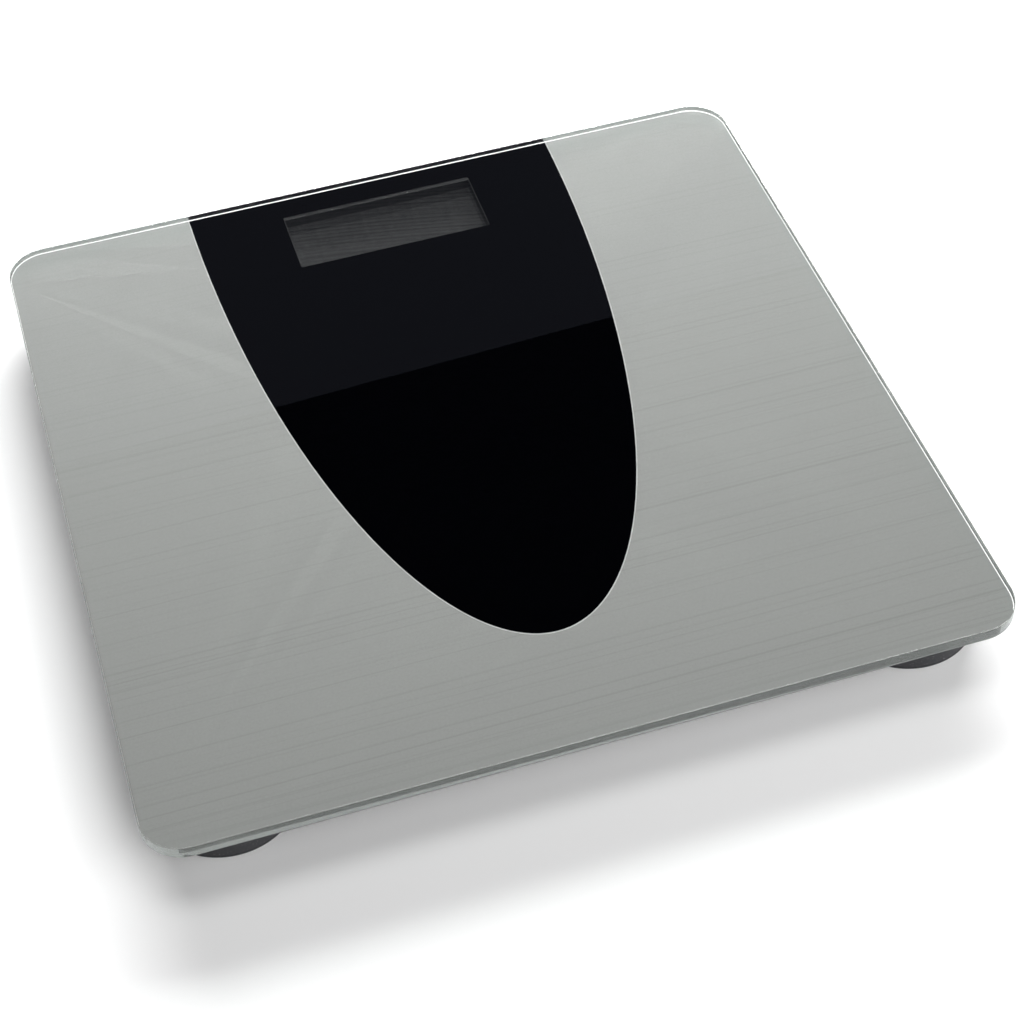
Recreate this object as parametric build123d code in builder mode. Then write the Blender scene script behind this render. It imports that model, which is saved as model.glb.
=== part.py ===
from build123d import *
import os

# Digital bathroom scale: a square tempered-glass platform bonded to a moulded tray that
# stands on four load-cell feet, with a battery, a circuit board and an LCD in a bay at the back.
# Millimetres, +Z up. The origin is on the floor under the middle of the platform. The display
# is at the back (+Y) and the user stands facing it from the front (-Y).

# Glass platform
plate_width = 300.0
plate_depth = 300.0
glass_thickness = 5.0
glass_corner_radius = 15.0
glass_arris = 0.4
glass_underside = 18.5

# Films on the underside of the glass
film_thickness = 0.2
film_inset = 0.5
panel_half_width = 75.4
panel_half_length = 252.3
panel_centre_behind_edge = 0.6
panel_line_width = 0.5
window_width = 77.8
window_depth = 32.1
window_setback = 11.0
window_corner_radius = 0.8
tape_thickness = 0.6

# Base tray
tray_inset = 5.0
tray_corner_radius = 34.0
tray_height = 6.8
tray_wall = 2.4
tray_floor = 1.6
tray_edge_radius = 0.8
rib_thickness = 1.4
rib_well_gap = 7.0
rib_bay_gap = 10.0

# Electronics bay in the tray
bay_width = 92.0
bay_front_from_window = 51.0
bay_wall = 1.6
bay_floor = 1.6
bay_underside = 2.5
bay_corner_radius = 3.0

# Feet
foot_inset_x = 29.5
foot_inset_y = 33.5
foot_radius = 25.0
foot_pad_thickness = 1.6
foot_pad_edge = 0.7
foot_spigot_height = 1.6
foot_wall = 2.0
foot_top_thickness = 1.8
foot_top_edge = 1.0
foot_travel = 0.8
foot_stop_gap = 0.4
neck_radius = 10.0
neck_above_tray = 1.1
neck_clearance = 0.6
hook_reach = 1.4
hook_height = 0.6
hook_width = 5.0
hook_bore_gap = 0.6
hook_lip_gap = 0.1
boss_radius = 4.0
cushion_radius = 3.4
cushion_pressed_height = 0.4
foot_rib_thickness = 1.6
spigot_clearance = 0.05

# Load cells
well_radius = 21.0
cell_side = 30.0
cell_corner_radius = 5.0
cell_thickness = 1.4
cell_ledge = 1.4
cell_frame_width = 4.5
cell_slot = 6.0
cell_clearance = 0.2
gauge_length = 5.0
gauge_width = 4.0
gauge_thickness = 0.4
gauge_edge_gap = 1.5
retainer_clearance = 0.5
retainer_relief = 1.6
retainer_screw_from_centre = 18.0
retainer_screw_radius = 0.9
retainer_head_radius = 1.6
retainer_head_gap = 0.2
retainer_head_depth = 0.9
retainer_head_sunk = 0.1
retainer_screw_length = 4.2

# Wires from the load cells
wire_radius = 0.45
wire_pitch = 1.3
wire_lift = 0.15
wire_channel_width = 5.2
wire_column_rear = 84.0
wire_column_front = 74.0
wire_drop_rear = 36.0
wire_drop_front = 28.0
wire_row_gap = 6.2
wire_bend_radius = 4.0
terminal_radius = 0.6
terminal_height = 0.5

# Circuit board, display and battery
board_width = 86.0
board_front_gap = 28.4
board_back_gap = 0.6
board_thickness = 1.0
board_above_floor = 2.2
board_post_radius = 2.6
board_screw_radius = 1.0
board_screw_inset = 3.0
board_screw_length = 2.8
board_rest_x = 20.0
board_head_radius = 1.9
board_head_height = 1.2
lcd_width = 79.2
lcd_depth = 32.0
lcd_ahead_of_window = 0.9
lcd_plate_thickness = 1.1
lcd_contact_ledge = 3.0
lcd_above_board = 0.2
polariser_thickness = 0.2
polariser_inset = 1.0
holder_wall = 0.8
holder_lip = 1.0
holder_clearance = 0.2
holder_peg_radius = 0.8
holder_peg_clearance = 0.1
peg_spacing = 26.0
zebra_width = 2.0
zebra_end_gap = 2.0
zebra_clearance = 0.3
chip_radius = 6.0
chip_height = 1.5
chip_dome_radius = 1.4
chip_from_front = 11.0
component_length = 2.0
component_width = 1.2
component_height = 0.8
component_first_x = 10.0
component_pitch = 4.5
component_from_front = 8.0
component_row_gap = 5.0
battery_radius = 10.0
battery_height = 3.2
battery_edge_radius = 0.5
battery_clearance = 0.4
battery_lift = 0.2
battery_from_board = 4.0
battery_block_width = 30.0
battery_block_height = 2.9
battery_block_wall = 1.6
contact_thickness = 0.3
contact_width = 4.0
contact_on_board = 3.0
contact_spacing = 7.0
contact_side_gap = 0.8
door_opening_width = 26.0
door_clearance = 0.2
door_tongue_reach = 1.0
door_tongue_thickness = 0.5
door_back_gap = 0.3
door_overlap = 1.0
door_tongue_gap = 0.12
grip_groove_width = 1.0
grip_groove_length = 14.0
grip_groove_depth = 0.5
grip_groove_pitch = 2.0
grip_from_front = 8.0
button_from_middle = 28.0
button_radius = 3.5
button_clearance = 0.3
button_flange = 1.2
button_flange_thickness = 0.5
button_proud = 0.4
button_travel = 0.5
button_stem_radius = 1.4
button_stem_height = 0.2
plunger_radius = 0.8
plunger_height = 0.8
plunger_clearance = 0.15
switch_side = 4.0
switch_gap = 0.2

# Heights that follow from the values above
film_underside = glass_underside - film_thickness
tray_top = film_underside - tape_thickness
tray_underside = tray_top - tray_height
tray_floor_top = tray_underside + tray_floor
cell_underside = tray_floor_top + cell_ledge
cell_top = cell_underside + cell_thickness
bay_floor_top = bay_underside + bay_floor
board_underside = bay_floor_top + board_above_floor
board_top = board_underside + board_thickness
cup_underside = foot_pad_thickness
cup_top = tray_underside - foot_travel - foot_stop_gap
neck_top = tray_underside + neck_above_tray
boss_top = cell_underside - foot_travel - cushion_pressed_height
wire_height = cell_top + wire_lift + wire_radius

# Places in plan that follow from the values above
tray_width = plate_width - 2 * tray_inset
tray_depth = plate_depth - 2 * tray_inset
tray_inner_back = tray_depth / 2 - tray_wall
foot_x = plate_width / 2 - foot_inset_x
foot_y = plate_depth / 2 - foot_inset_y
foot_places = [(sx * foot_x, sy * foot_y) for sx in (-1, 1) for sy in (-1, 1)]
window_y = plate_depth / 2 - window_setback - window_depth / 2
window_front = window_y - window_depth / 2
bay_front = window_front - bay_front_from_window
bay_back = tray_depth / 2
bay_inner_front = bay_front + bay_wall
board_front = bay_inner_front + board_front_gap
board_back = tray_inner_back - board_back_gap
board_y = (board_front + board_back) / 2
battery_y = board_front - battery_from_board - battery_radius
rib_x = foot_x - well_radius - rib_well_gap
rib_y = foot_y - well_radius - rib_well_gap
lip_top = neck_top - hook_height - hook_lip_gap
cell_opening = cell_side - 2 * cell_frame_width
gauge_from_centre = cell_opening / 2 - gauge_edge_gap - gauge_length / 2
retainer_screw_offsets = [(0, retainer_screw_from_centre), (0, -retainer_screw_from_centre)]
retainer_screw_places = [(x + dx, y + dy) for x, y in foot_places for dx, dy in retainer_screw_offsets]
retainer_screw_in_tray = retainer_screw_length - (tray_top - retainer_head_depth - cell_top)
board_screw_x = board_width / 2 - board_screw_inset
board_screw_places = [(side * board_screw_x, board_front + board_screw_inset) for side in (-1, 1)]
board_rest_places = [(side * board_rest_x, board_back - board_post_radius) for side in (-1, 1)]
battery_block_back = battery_y + battery_radius + battery_clearance + battery_block_wall
door_opening_back = battery_block_back + door_overlap
door_plate_back = door_opening_back - door_back_gap
groove_height = door_tongue_thickness + 2 * door_tongue_gap
groove_underside = bay_underside + (bay_floor - groove_height) / 2
button_place = (-button_from_middle, battery_y)
battery_underside = bay_floor_top + battery_lift
battery_top = battery_underside + battery_height
negative_x = -contact_spacing
contact_notch_x = negative_x / 2
contact_notch_width = contact_spacing + contact_width + 2 * contact_side_gap
contact_notch_depth = battery_block_wall + battery_radius / 2
window_place = (0, window_y)
lcd_underside = board_top + lcd_above_board
lcd_face = lcd_underside + 2 * polariser_thickness + 2 * lcd_plate_thickness
lcd_y = window_y - lcd_ahead_of_window
lcd_place = (0, lcd_y)
lcd_front = lcd_y - lcd_depth / 2
holder_width = lcd_width + 2 * holder_clearance + 2 * holder_wall
holder_depth = lcd_depth + 2 * holder_clearance + 2 * holder_wall
peg_x = holder_width / 2 - holder_wall
peg_places = [(sx * peg_x, lcd_y + sy * peg_spacing / 2) for sx in (-1, 1) for sy in (-1, 1)]
chip_place = (0, board_front + chip_from_front)
component_columns = [side * (component_first_x + step * component_pitch)
                     for side in (-1, 1) for step in range(3)]
component_front_row = board_front + component_from_front
component_rows = [component_front_row, component_front_row + component_row_gap]
component_places = [(x, y) for x in component_columns for y in component_rows]
plunger_underside = bay_floor_top + button_flange_thickness + button_stem_height
switch_underside = bay_floor_top + button_flange_thickness + button_travel + switch_gap
corner_names = {
    "front_left": (-1, -1),
    "front_right": (1, -1),
    "rear_left": (-1, 1),
    "rear_right": (1, 1),
}

os.makedirs("parts", exist_ok=True)


def save(piece, name):
    """Label one finished piece and write it as its own STEP file."""
    piece.part.label = name
    export_step(piece.part, f"parts/{name}.step")


# ---------------------------------------------------------------- glass and films

with BuildPart() as glass_platform:
    with BuildSketch(Plane.XY.offset(glass_underside)):
        RectangleRounded(plate_width, plate_depth, glass_corner_radius)
    extrude(amount=glass_thickness)
    chamfer(glass_platform.faces().filter_by(Axis.Z).edges(), length=glass_arris)
save(glass_platform, "glass_platform")

film_width = plate_width - 2 * film_inset
film_depth = plate_depth - 2 * film_inset
film_corner_radius = glass_corner_radius - film_inset
panel_place = (0, plate_depth / 2 + panel_centre_behind_edge)

with BuildPart() as silver_film:
    with BuildSketch(Plane.XY.offset(film_underside)):
        RectangleRounded(film_width, film_depth, film_corner_radius)
        with Locations(panel_place):
            Ellipse(panel_half_width + panel_line_width, panel_half_length + panel_line_width,
                    mode=Mode.SUBTRACT)
    extrude(amount=film_thickness)
save(silver_film, "silver_film")

with BuildPart() as panel_line_film:
    with BuildSketch(Plane.XY.offset(film_underside)):
        with Locations(panel_place):
            Ellipse(panel_half_width + panel_line_width, panel_half_length + panel_line_width)
            Ellipse(panel_half_width, panel_half_length, mode=Mode.SUBTRACT)
        RectangleRounded(film_width, film_depth, film_corner_radius, mode=Mode.INTERSECT)
    extrude(amount=film_thickness)
save(panel_line_film, "panel_line_film")

with BuildPart() as black_panel_film:
    with BuildSketch(Plane.XY.offset(film_underside)):
        with Locations(panel_place):
            Ellipse(panel_half_width, panel_half_length)
        RectangleRounded(film_width, film_depth, film_corner_radius, mode=Mode.INTERSECT)
        with Locations(window_place):
            RectangleRounded(window_width, window_depth, window_corner_radius, mode=Mode.SUBTRACT)
    extrude(amount=film_thickness)
save(black_panel_film, "black_panel_film")

with BuildPart() as window_film:
    with BuildSketch(Plane.XY.offset(film_underside)):
        with Locations(window_place):
            RectangleRounded(window_width, window_depth, window_corner_radius)
    extrude(amount=film_thickness)
save(window_film, "window_film")

retainer_radius = well_radius - retainer_clearance

with BuildPart() as bonding_tape:
    with BuildSketch(Plane.XY.offset(tray_top)):
        RectangleRounded(tray_width, tray_depth, tray_corner_radius)
        RectangleRounded(tray_width - 2 * tray_wall, tray_depth - 2 * tray_wall,
                         tray_corner_radius - tray_wall, mode=Mode.SUBTRACT)
        with Locations(foot_places):
            Circle(retainer_radius)
    extrude(amount=tape_thickness)
save(bonding_tape, "bonding_tape")


# ---------------------------------------------------------------- base tray

def wire_route(side, end, offset):
    """Corner points of one wire, from the gauge on a load cell to the circuit board."""
    gauge_y = end * foot_y + gauge_from_centre + offset
    start_x = side * (foot_x - gauge_width / 2)
    if end > 0:
        column = side * wire_column_rear - side * offset
        row = board_front + board_screw_inset + wire_row_gap + offset
        drop = side * wire_drop_rear
    else:
        column = side * wire_column_front + side * offset
        row = board_front + board_screw_inset + offset
        drop = side * wire_drop_front
    return [
        (start_x, gauge_y, wire_height),
        (column, gauge_y, wire_height),
        (column, row, wire_height),
        (drop, row, wire_height),
        (drop, row, board_top + terminal_height),
    ]


terminal_places = [wire_route(side, end, strand * wire_pitch)[-1][:2]
                   for side in (-1, 1) for end in (-1, 1) for strand in (-1, 0, 1)]

with BuildPart() as base_tray:
    with BuildSketch(Plane.XY.offset(tray_underside)):
        RectangleRounded(tray_width, tray_depth, tray_corner_radius)
    extrude(amount=tray_height)
    fillet(base_tray.faces().sort_by(Axis.Z)[0].edges(), radius=tray_edge_radius)
    with BuildSketch(Plane.XY.offset(tray_floor_top)):
        RectangleRounded(tray_width - 2 * tray_wall, tray_depth - 2 * tray_wall,
                         tray_corner_radius - tray_wall)
    extrude(amount=tray_top - tray_floor_top, mode=Mode.SUBTRACT)

    # Ribs under the glass, with the round wells for the load cells
    with BuildSketch(Plane.XY.offset(tray_floor_top)):
        with Locations([(x, 0) for x in (-rib_x, -rib_x / 2, 0, rib_x / 2, rib_x)]):
            Rectangle(rib_thickness, tray_depth - 2 * tray_wall)
        with Locations([(0, y) for y in (-rib_y, -rib_y / 2, 0, rib_y / 2, rib_y - rib_bay_gap)]):
            Rectangle(tray_width - 2 * tray_wall, rib_thickness)
    extrude(amount=tray_top - tray_floor_top)
    with BuildSketch(Plane.XY.offset(tray_floor_top)):
        with Locations(foot_places):
            Circle(well_radius)
    extrude(amount=cell_top - tray_floor_top)

    # Electronics bay
    with BuildSketch(Plane.XY.offset(bay_underside)):
        with Locations((0, (bay_front + bay_back) / 2)):
            RectangleRounded(bay_width, bay_back - bay_front, bay_corner_radius)
    extrude(amount=tray_top - bay_underside)
    with BuildSketch(Plane.XY.offset(bay_floor_top)):
        with Locations((0, (bay_inner_front + tray_inner_back) / 2)):
            Rectangle(bay_width - 2 * bay_wall, tray_inner_back - bay_inner_front)
    extrude(amount=tray_top - bay_floor_top, mode=Mode.SUBTRACT)

    # Posts for the circuit board, with pilot holes in the two that take screws
    with BuildSketch(Plane.XY.offset(bay_floor_top)):
        with Locations(board_screw_places + board_rest_places):
            Circle(board_post_radius)
    extrude(amount=board_above_floor)
    with BuildSketch(Plane.XY.offset(board_underside)):
        with Locations(board_screw_places):
            Circle(board_screw_radius)
    extrude(amount=-(board_screw_length - board_thickness), mode=Mode.SUBTRACT)

    # Battery holder, open to the battery door below and to the contacts behind
    with BuildSketch(Plane.XY.offset(bay_floor_top)):
        with Locations((0, (bay_inner_front + battery_block_back) / 2)):
            Rectangle(battery_block_width, battery_block_back - bay_inner_front)
    extrude(amount=battery_block_height)
    with BuildSketch(Plane.XY.offset(bay_floor_top)):
        with Locations((0, battery_y)):
            Circle(battery_radius + battery_clearance)
        with Locations((contact_notch_x, battery_block_back)):
            Rectangle(contact_notch_width, 2 * contact_notch_depth)
    extrude(amount=battery_block_height, mode=Mode.SUBTRACT)

    # Door opening, running out through the front wall of the bay, and its two grooves
    with BuildSketch(Plane.XY.offset(bay_underside)):
        with Locations((0, (bay_front + door_opening_back) / 2)):
            Rectangle(door_opening_width, door_opening_back - bay_front)
    extrude(amount=bay_floor + door_clearance, mode=Mode.SUBTRACT)
    with BuildSketch(Plane.XY.offset(groove_underside)):
        with Locations((0, (bay_front + door_opening_back) / 2)):
            Rectangle(door_opening_width + 2 * door_tongue_reach, door_opening_back - bay_front)
    extrude(amount=groove_height, mode=Mode.SUBTRACT)

    # Hole for the unit button
    with BuildSketch(Plane.XY.offset(bay_underside)):
        with Locations(button_place):
            Circle(button_radius + button_clearance)
    extrude(amount=bay_floor, mode=Mode.SUBTRACT)

    # Bores for the foot necks, with the lip that the hooks hold, and the load cell pockets
    with BuildSketch(Plane.XY.offset(tray_underside)):
        with Locations(foot_places):
            Circle(neck_radius + neck_clearance)
    extrude(amount=cell_underside - tray_underside, mode=Mode.SUBTRACT)
    with BuildSketch(Plane.XY.offset(lip_top)):
        with Locations(foot_places):
            Circle(neck_radius + hook_reach + hook_bore_gap)
    extrude(amount=cell_underside - lip_top, mode=Mode.SUBTRACT)
    with BuildSketch(Plane.XY.offset(cell_underside)):
        with Locations(foot_places):
            RectangleRounded(cell_side + cell_clearance, cell_side + cell_clearance, cell_corner_radius)
    extrude(amount=cell_thickness, mode=Mode.SUBTRACT)
    with BuildSketch(Plane.XY.offset(cell_top)):
        with Locations(retainer_screw_places):
            Circle(retainer_screw_radius)
    extrude(amount=-retainer_screw_in_tray, mode=Mode.SUBTRACT)

    # Channels for the wires, through the ribs and the bay's side walls
    for side in (-1, 1):
        for end in (-1, 1):
            route = wire_route(side, end, 0)
            for start, stop in zip(route[:3], route[1:4]):
                with BuildSketch(Plane.XY.offset(wire_height - wire_radius - wire_lift / 2)):
                    with Locations(((start[0] + stop[0]) / 2, (start[1] + stop[1]) / 2)):
                        Rectangle(abs(stop[0] - start[0]) + wire_channel_width,
                                  abs(stop[1] - start[1]) + wire_channel_width)
                extrude(amount=tray_top, mode=Mode.SUBTRACT)
save(base_tray, "base_tray")


# ---------------------------------------------------------------- feet and load cells

for corner, (side, end) in corner_names.items():
    foot_place = (side * foot_x, end * foot_y)

    with BuildPart() as foot_pad:
        with BuildSketch():
            with Locations(foot_place):
                Circle(foot_radius)
        extrude(amount=foot_pad_thickness)
        fillet(foot_pad.faces().sort_by(Axis.Z)[0].edges(), radius=foot_pad_edge)
        with BuildSketch(Plane.XY.offset(foot_pad_thickness)):
            with Locations(foot_place):
                Circle(foot_radius - foot_wall - spigot_clearance)
        extrude(amount=foot_spigot_height)
    save(foot_pad, f"foot_pad_{corner}")

    with BuildPart() as foot_cup:
        with BuildSketch(Plane.XY.offset(cup_underside)):
            with Locations(foot_place):
                Circle(foot_radius)
        extrude(amount=cup_top - cup_underside)
        fillet(foot_cup.faces().sort_by(Axis.Z)[-1].edges(), radius=foot_top_edge)
        with BuildSketch(Plane.XY.offset(cup_underside)):
            with Locations(foot_place):
                Circle(foot_radius - foot_wall)
        extrude(amount=cup_top - foot_top_thickness - cup_underside, mode=Mode.SUBTRACT)
        # Cross ribs and the middle column inside the cup
        with BuildSketch(Plane.XY.offset(cup_underside + foot_spigot_height)):
            with Locations(foot_place):
                Rectangle(2 * foot_radius - foot_wall, foot_rib_thickness)
                Rectangle(foot_rib_thickness, 2 * foot_radius - foot_wall)
                Circle(neck_radius)
        extrude(until=Until.NEXT)
        # Neck with its snap hooks, and the boss that presses the load cell
        with BuildSketch(Plane.XY.offset(cup_top)):
            with Locations(foot_place):
                Circle(neck_radius)
        extrude(amount=neck_top - cup_top)
        with BuildSketch(Plane.XY.offset(neck_top - hook_height)):
            with Locations(foot_place):
                Circle(neck_radius + hook_reach)
                Rectangle(2 * foot_radius, hook_width, mode=Mode.INTERSECT)
        extrude(amount=hook_height)
        with BuildSketch(Plane.XY.offset(neck_top)):
            with Locations(foot_place):
                Circle(boss_radius)
        extrude(amount=boss_top - neck_top)
    save(foot_cup, f"foot_cup_{corner}")

    with BuildPart() as cell_cushion:
        with BuildSketch(Plane.XY.offset(boss_top)):
            with Locations(foot_place):
                Circle(cushion_radius)
        extrude(amount=cell_underside - boss_top)
    save(cell_cushion, f"cell_cushion_{corner}")

    with BuildPart() as load_cell:
        with BuildSketch(Plane.XY.offset(cell_underside)):
            with Locations(foot_place):
                RectangleRounded(cell_side, cell_side, cell_corner_radius)
            with Locations(foot_place):
                Rectangle(cell_opening, cell_opening, mode=Mode.SUBTRACT)
            with Locations((foot_place[0], foot_place[1] + cell_frame_width / 2)):
                Rectangle(cell_opening - 2 * cell_slot, cell_opening + cell_frame_width - cell_slot)
        extrude(amount=cell_thickness)
    save(load_cell, f"load_cell_{corner}")

    with BuildPart() as strain_gauge:
        with BuildSketch(Plane.XY.offset(cell_top)):
            with Locations((foot_place[0], foot_place[1] + gauge_from_centre)):
                Rectangle(gauge_width, gauge_length)
        extrude(amount=gauge_thickness)
    save(strain_gauge, f"strain_gauge_{corner}")

    with BuildPart() as cell_retainer:
        with BuildSketch(Plane.XY.offset(cell_top)):
            with Locations(foot_place):
                Circle(retainer_radius)
        extrude(amount=tray_top - cell_top)
        with BuildSketch(Plane.XY.offset(cell_top)):
            with Locations(foot_place):
                Rectangle(cell_opening, cell_opening)
            with Locations((foot_place[0] - side * retainer_radius / 2, foot_place[1] + gauge_from_centre)):
                Rectangle(retainer_radius, wire_channel_width)
        extrude(amount=retainer_relief, mode=Mode.SUBTRACT)
        for x, y in retainer_screw_offsets:
            with Locations((foot_place[0] + x, foot_place[1] + y, tray_top)):
                CounterBoreHole(retainer_screw_radius, retainer_head_radius + retainer_head_gap,
                                retainer_head_depth)
    save(cell_retainer, f"cell_retainer_{corner}")

    with BuildPart() as cell_wires:
        for strand in (-1, 0, 1):
            route = wire_route(side, end, strand * wire_pitch)
            with BuildLine() as path:
                FilletPolyline(*route, radius=wire_bend_radius)
            with BuildSketch(Plane(origin=path.line @ 0, z_dir=path.line % 0)):
                Circle(wire_radius)
            sweep(path=path.line)
    save(cell_wires, f"cell_wires_{corner}")

with BuildPart() as retainer_screws:
    with BuildSketch(Plane.XY.offset(tray_top - retainer_head_depth)):
        with Locations(retainer_screw_places):
            Circle(retainer_head_radius)
    extrude(amount=retainer_head_depth - retainer_head_sunk)
    with BuildSketch(Plane.XY.offset(tray_top - retainer_head_depth)):
        with Locations(retainer_screw_places):
            Circle(retainer_screw_radius)
    extrude(amount=-retainer_screw_length)
save(retainer_screws, "retainer_screws")


# ---------------------------------------------------------------- circuit board and display

with BuildPart() as main_board:
    with BuildSketch(Plane.XY.offset(board_underside)):
        with Locations((0, board_y)):
            Rectangle(board_width, board_back - board_front)
        with Locations(board_screw_places):
            Circle(board_screw_radius, mode=Mode.SUBTRACT)
        with Locations(peg_places):
            Circle(holder_peg_radius + holder_peg_clearance, mode=Mode.SUBTRACT)
    extrude(amount=board_thickness)
save(main_board, "main_board")

with BuildPart() as board_screws:
    with BuildSketch(Plane.XY.offset(board_top)):
        with Locations(board_screw_places):
            Circle(board_head_radius)
    extrude(amount=board_head_height)
    fillet(board_screws.faces().group_by(Axis.Z)[-1].edges(), radius=board_head_height / 2)
    with BuildSketch(Plane.XY.offset(board_top)):
        with Locations(board_screw_places):
            Circle(board_screw_radius)
    extrude(amount=-board_screw_length)
save(board_screws, "board_screws")

with BuildPart() as controller_chip:
    with BuildSketch(Plane.XY.offset(board_top)):
        with Locations(chip_place):
            Circle(chip_radius)
    extrude(amount=chip_height)
    fillet(controller_chip.faces().sort_by(Axis.Z)[-1].edges(), radius=chip_dome_radius)
save(controller_chip, "controller_chip")

with BuildPart() as board_components:
    with BuildSketch(Plane.XY.offset(board_top)):
        with Locations(component_places):
            Rectangle(component_length, component_width)
    extrude(amount=component_height)
save(board_components, "board_components")

with BuildPart() as wire_terminals:
    with BuildSketch(Plane.XY.offset(board_top)):
        with Locations(terminal_places):
            Circle(terminal_radius)
    extrude(amount=terminal_height)
save(wire_terminals, "wire_terminals")

with BuildPart() as lcd_reflector:
    with BuildSketch(Plane.XY.offset(lcd_underside)):
        with Locations((0, lcd_y + lcd_contact_ledge / 2)):
            Rectangle(lcd_width - 2 * polariser_inset, lcd_depth - lcd_contact_ledge - 2 * polariser_inset)
    extrude(amount=polariser_thickness)
save(lcd_reflector, "lcd_reflector")

with BuildPart() as lcd_cell:
    with BuildSketch(Plane.XY.offset(lcd_underside + polariser_thickness)):
        with Locations((0, lcd_y + lcd_contact_ledge / 2)):
            Rectangle(lcd_width, lcd_depth - lcd_contact_ledge)
    extrude(amount=lcd_plate_thickness)
    with BuildSketch(Plane.XY.offset(lcd_underside + polariser_thickness + lcd_plate_thickness)):
        with Locations(lcd_place):
            Rectangle(lcd_width, lcd_depth)
    extrude(amount=lcd_plate_thickness)
save(lcd_cell, "lcd_cell")

with BuildPart() as lcd_polariser:
    with BuildSketch(Plane.XY.offset(lcd_face - polariser_thickness)):
        with Locations((0, lcd_y + lcd_contact_ledge / 2)):
            Rectangle(lcd_width - 2 * polariser_inset, lcd_depth - lcd_contact_ledge - 2 * polariser_inset)
    extrude(amount=polariser_thickness)
save(lcd_polariser, "lcd_polariser")

with BuildPart() as zebra_strip:
    with BuildSketch(Plane.XY.offset(board_top)):
        with Locations((0, lcd_front + zebra_width / 2 + zebra_clearance)):
            Rectangle(lcd_width - 2 * zebra_end_gap, zebra_width)
    extrude(amount=lcd_underside + polariser_thickness + lcd_plate_thickness - board_top)
save(zebra_strip, "zebra_strip")

with BuildPart() as lcd_holder:
    with BuildSketch(Plane.XY.offset(board_top)):
        with Locations(lcd_place):
            Rectangle(holder_width, holder_depth)
            Rectangle(lcd_width + 2 * holder_clearance, lcd_depth + 2 * holder_clearance,
                      mode=Mode.SUBTRACT)
    extrude(amount=lcd_face - board_top)
    with BuildSketch(Plane.XY.offset(lcd_face)):
        with Locations(lcd_place):
            Rectangle(holder_width, holder_depth)
            Rectangle(lcd_width - 2 * holder_lip, lcd_depth - 2 * holder_lip, mode=Mode.SUBTRACT)
    extrude(amount=film_underside - lcd_face)
    with BuildSketch(Plane.XY.offset(board_top)):
        with Locations(peg_places):
            Circle(holder_peg_radius)
    extrude(amount=-board_thickness)
save(lcd_holder, "lcd_holder")


# ---------------------------------------------------------------- battery, its contacts and door

with BuildPart() as battery:
    with BuildSketch(Plane.XY.offset(battery_underside)):
        with Locations((0, battery_y)):
            Circle(battery_radius)
    extrude(amount=battery_height)
    fillet(battery.edges().filter_by(GeomType.CIRCLE), radius=battery_edge_radius)
save(battery, "battery")

with BuildPart() as contact_positive:
    with BuildSketch(Plane.YZ.offset(-contact_width / 2)):
        with BuildLine():
            Polyline(
                (battery_y + battery_radius, battery_underside),
                (battery_y + battery_radius, board_top + contact_thickness),
                (board_front + contact_on_board, board_top + contact_thickness),
                (board_front + contact_on_board, board_top),
                (battery_y + battery_radius + contact_thickness, board_top),
                (battery_y + battery_radius + contact_thickness, battery_underside),
                close=True,
            )
        make_face()
    extrude(amount=contact_width)
save(contact_positive, "contact_positive")

with BuildPart() as contact_negative:
    with BuildSketch(Plane.YZ.offset(negative_x - contact_width / 2)):
        with BuildLine():
            Polyline(
                (battery_y - contact_width / 2, battery_top),
                (battery_y - contact_width / 2, battery_top + contact_thickness),
                (board_front + contact_on_board, battery_top + contact_thickness),
                (board_front + contact_on_board, board_top),
                (board_front + contact_on_board / 2, board_top),
                (board_front + contact_on_board / 2, battery_top),
                close=True,
            )
        make_face()
    extrude(amount=contact_width)
save(contact_negative, "contact_negative")

with BuildPart() as battery_door:
    with BuildSketch(Plane.XY.offset(bay_underside)):
        with Locations((0, (bay_front + door_plate_back) / 2)):
            Rectangle(door_opening_width - 2 * door_clearance, door_plate_back - bay_front)
    extrude(amount=bay_floor)
    with BuildSketch(Plane.XY.offset(groove_underside + door_tongue_gap)):
        with Locations((0, (bay_front + door_plate_back) / 2)):
            Rectangle(door_opening_width - 2 * door_clearance + 2 * door_tongue_reach,
                      door_plate_back - bay_front)
    extrude(amount=door_tongue_thickness)
    with BuildSketch(Plane.XY.offset(bay_underside)):
        with Locations([(0, bay_front + grip_from_front + step * grip_groove_pitch) for step in range(4)]):
            Rectangle(grip_groove_length, grip_groove_width)
    extrude(amount=grip_groove_depth, mode=Mode.SUBTRACT)
save(battery_door, "battery_door")


# ---------------------------------------------------------------- unit button and its switch

with BuildPart() as unit_button:
    with BuildSketch(Plane.XY.offset(bay_underside - button_proud)):
        with Locations(button_place):
            Circle(button_radius)
    extrude(amount=bay_floor + button_proud)
    with BuildSketch(Plane.XY.offset(bay_floor_top)):
        with Locations(button_place):
            Circle(button_radius + button_flange)
    extrude(amount=button_flange_thickness)
    with BuildSketch(Plane.XY.offset(bay_floor_top + button_flange_thickness)):
        with Locations(button_place):
            Circle(button_stem_radius)
    extrude(amount=button_stem_height)
    fillet(unit_button.faces().sort_by(Axis.Z)[0].edges(), radius=button_proud / 2)
save(unit_button, "unit_button")

with BuildPart() as switch_plunger:
    with BuildSketch(Plane.XY.offset(plunger_underside)):
        with Locations(button_place):
            Circle(plunger_radius)
    extrude(amount=plunger_height)
save(switch_plunger, "switch_plunger")

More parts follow.
